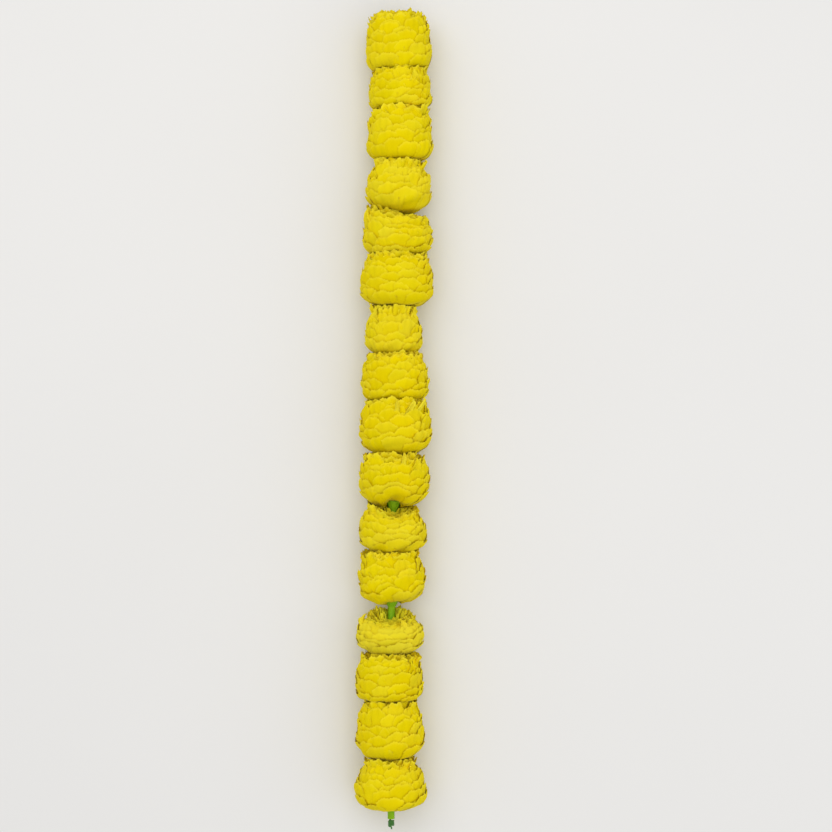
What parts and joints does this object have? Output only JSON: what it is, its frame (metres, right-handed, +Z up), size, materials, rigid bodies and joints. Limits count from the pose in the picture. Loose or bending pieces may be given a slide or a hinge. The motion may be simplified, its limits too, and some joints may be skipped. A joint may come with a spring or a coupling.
{
  "type": "artificial marigold garland strand",
  "caption": "A strand of full yellow pom-pom marigold heads threaded on a green cord, lying down.",
  "frame": {"origin": "on the surface that the strand lies on, under the middle of the strand", "axes": "+Z up; +Y along the strand, towards the end that hangs uppermost"},
  "size_m": [0.0708, 0.7484, 0.0637],
  "materials": {
    "cup_petals": "matte woven polyester petals, saturated yellow",
    "ruffled_petals": "matte woven polyester petals, saturated yellow, cut and frilled edges",
    "calyx_plastic": "moulded green plastic, satin",
    "green_cord": "twisted green cord"
  },
  "bodies": {
    "root": {"head_01_outer_petals": "cup_petals", "head_01_inner_petals": "ruffled_petals", "head_01_calyx": "calyx_plastic", "head_02_outer_petals": "cup_petals", "head_02_inner_petals": "ruffled_petals", "head_02_calyx": "calyx_plastic", "head_03_outer_petals": "cup_petals", "head_03_inner_petals": "ruffled_petals", "head_03_calyx": "calyx_plastic", "head_04_outer_petals": "cup_petals", "head_04_inner_petals": "ruffled_petals", "head_04_calyx": "calyx_plastic", "head_05_outer_petals": "cup_petals", "head_05_inner_petals": "ruffled_petals", "head_05_calyx": "calyx_plastic", "head_06_outer_petals": "cup_petals", "head_06_inner_petals": "ruffled_petals", "head_06_calyx": "calyx_plastic", "head_07_outer_petals": "cup_petals", "head_07_inner_petals": "ruffled_petals", "head_07_calyx": "calyx_plastic", "head_08_outer_petals": "cup_petals", "head_08_inner_petals": "ruffled_petals", "head_08_calyx": "calyx_plastic", "head_09_outer_petals": "cup_petals", "head_09_inner_petals": "ruffled_petals", "head_09_calyx": "calyx_plastic", "head_10_outer_petals": "cup_petals", "head_10_inner_petals": "ruffled_petals", "head_10_calyx": "calyx_plastic", "head_11_outer_petals": "cup_petals", "head_11_inner_petals": "ruffled_petals", "head_11_calyx": "calyx_plastic", "head_12_outer_petals": "cup_petals", "head_12_inner_petals": "ruffled_petals", "head_12_calyx": "calyx_plastic", "head_13_outer_petals": "cup_petals", "head_13_inner_petals": "ruffled_petals", "head_13_calyx": "calyx_plastic", "head_14_outer_petals": "cup_petals", "head_14_inner_petals": "ruffled_petals", "head_14_calyx": "calyx_plastic", "head_15_outer_petals": "cup_petals", "head_15_inner_petals": "ruffled_petals", "head_15_calyx": "calyx_plastic", "head_16_outer_petals": "cup_petals", "head_16_inner_petals": "ruffled_petals", "head_16_calyx": "calyx_plastic", "stringing_cord": "green_cord", "top_knot": "green_cord", "bottom_knot": "green_cord"}
  },
  "joints": []
}
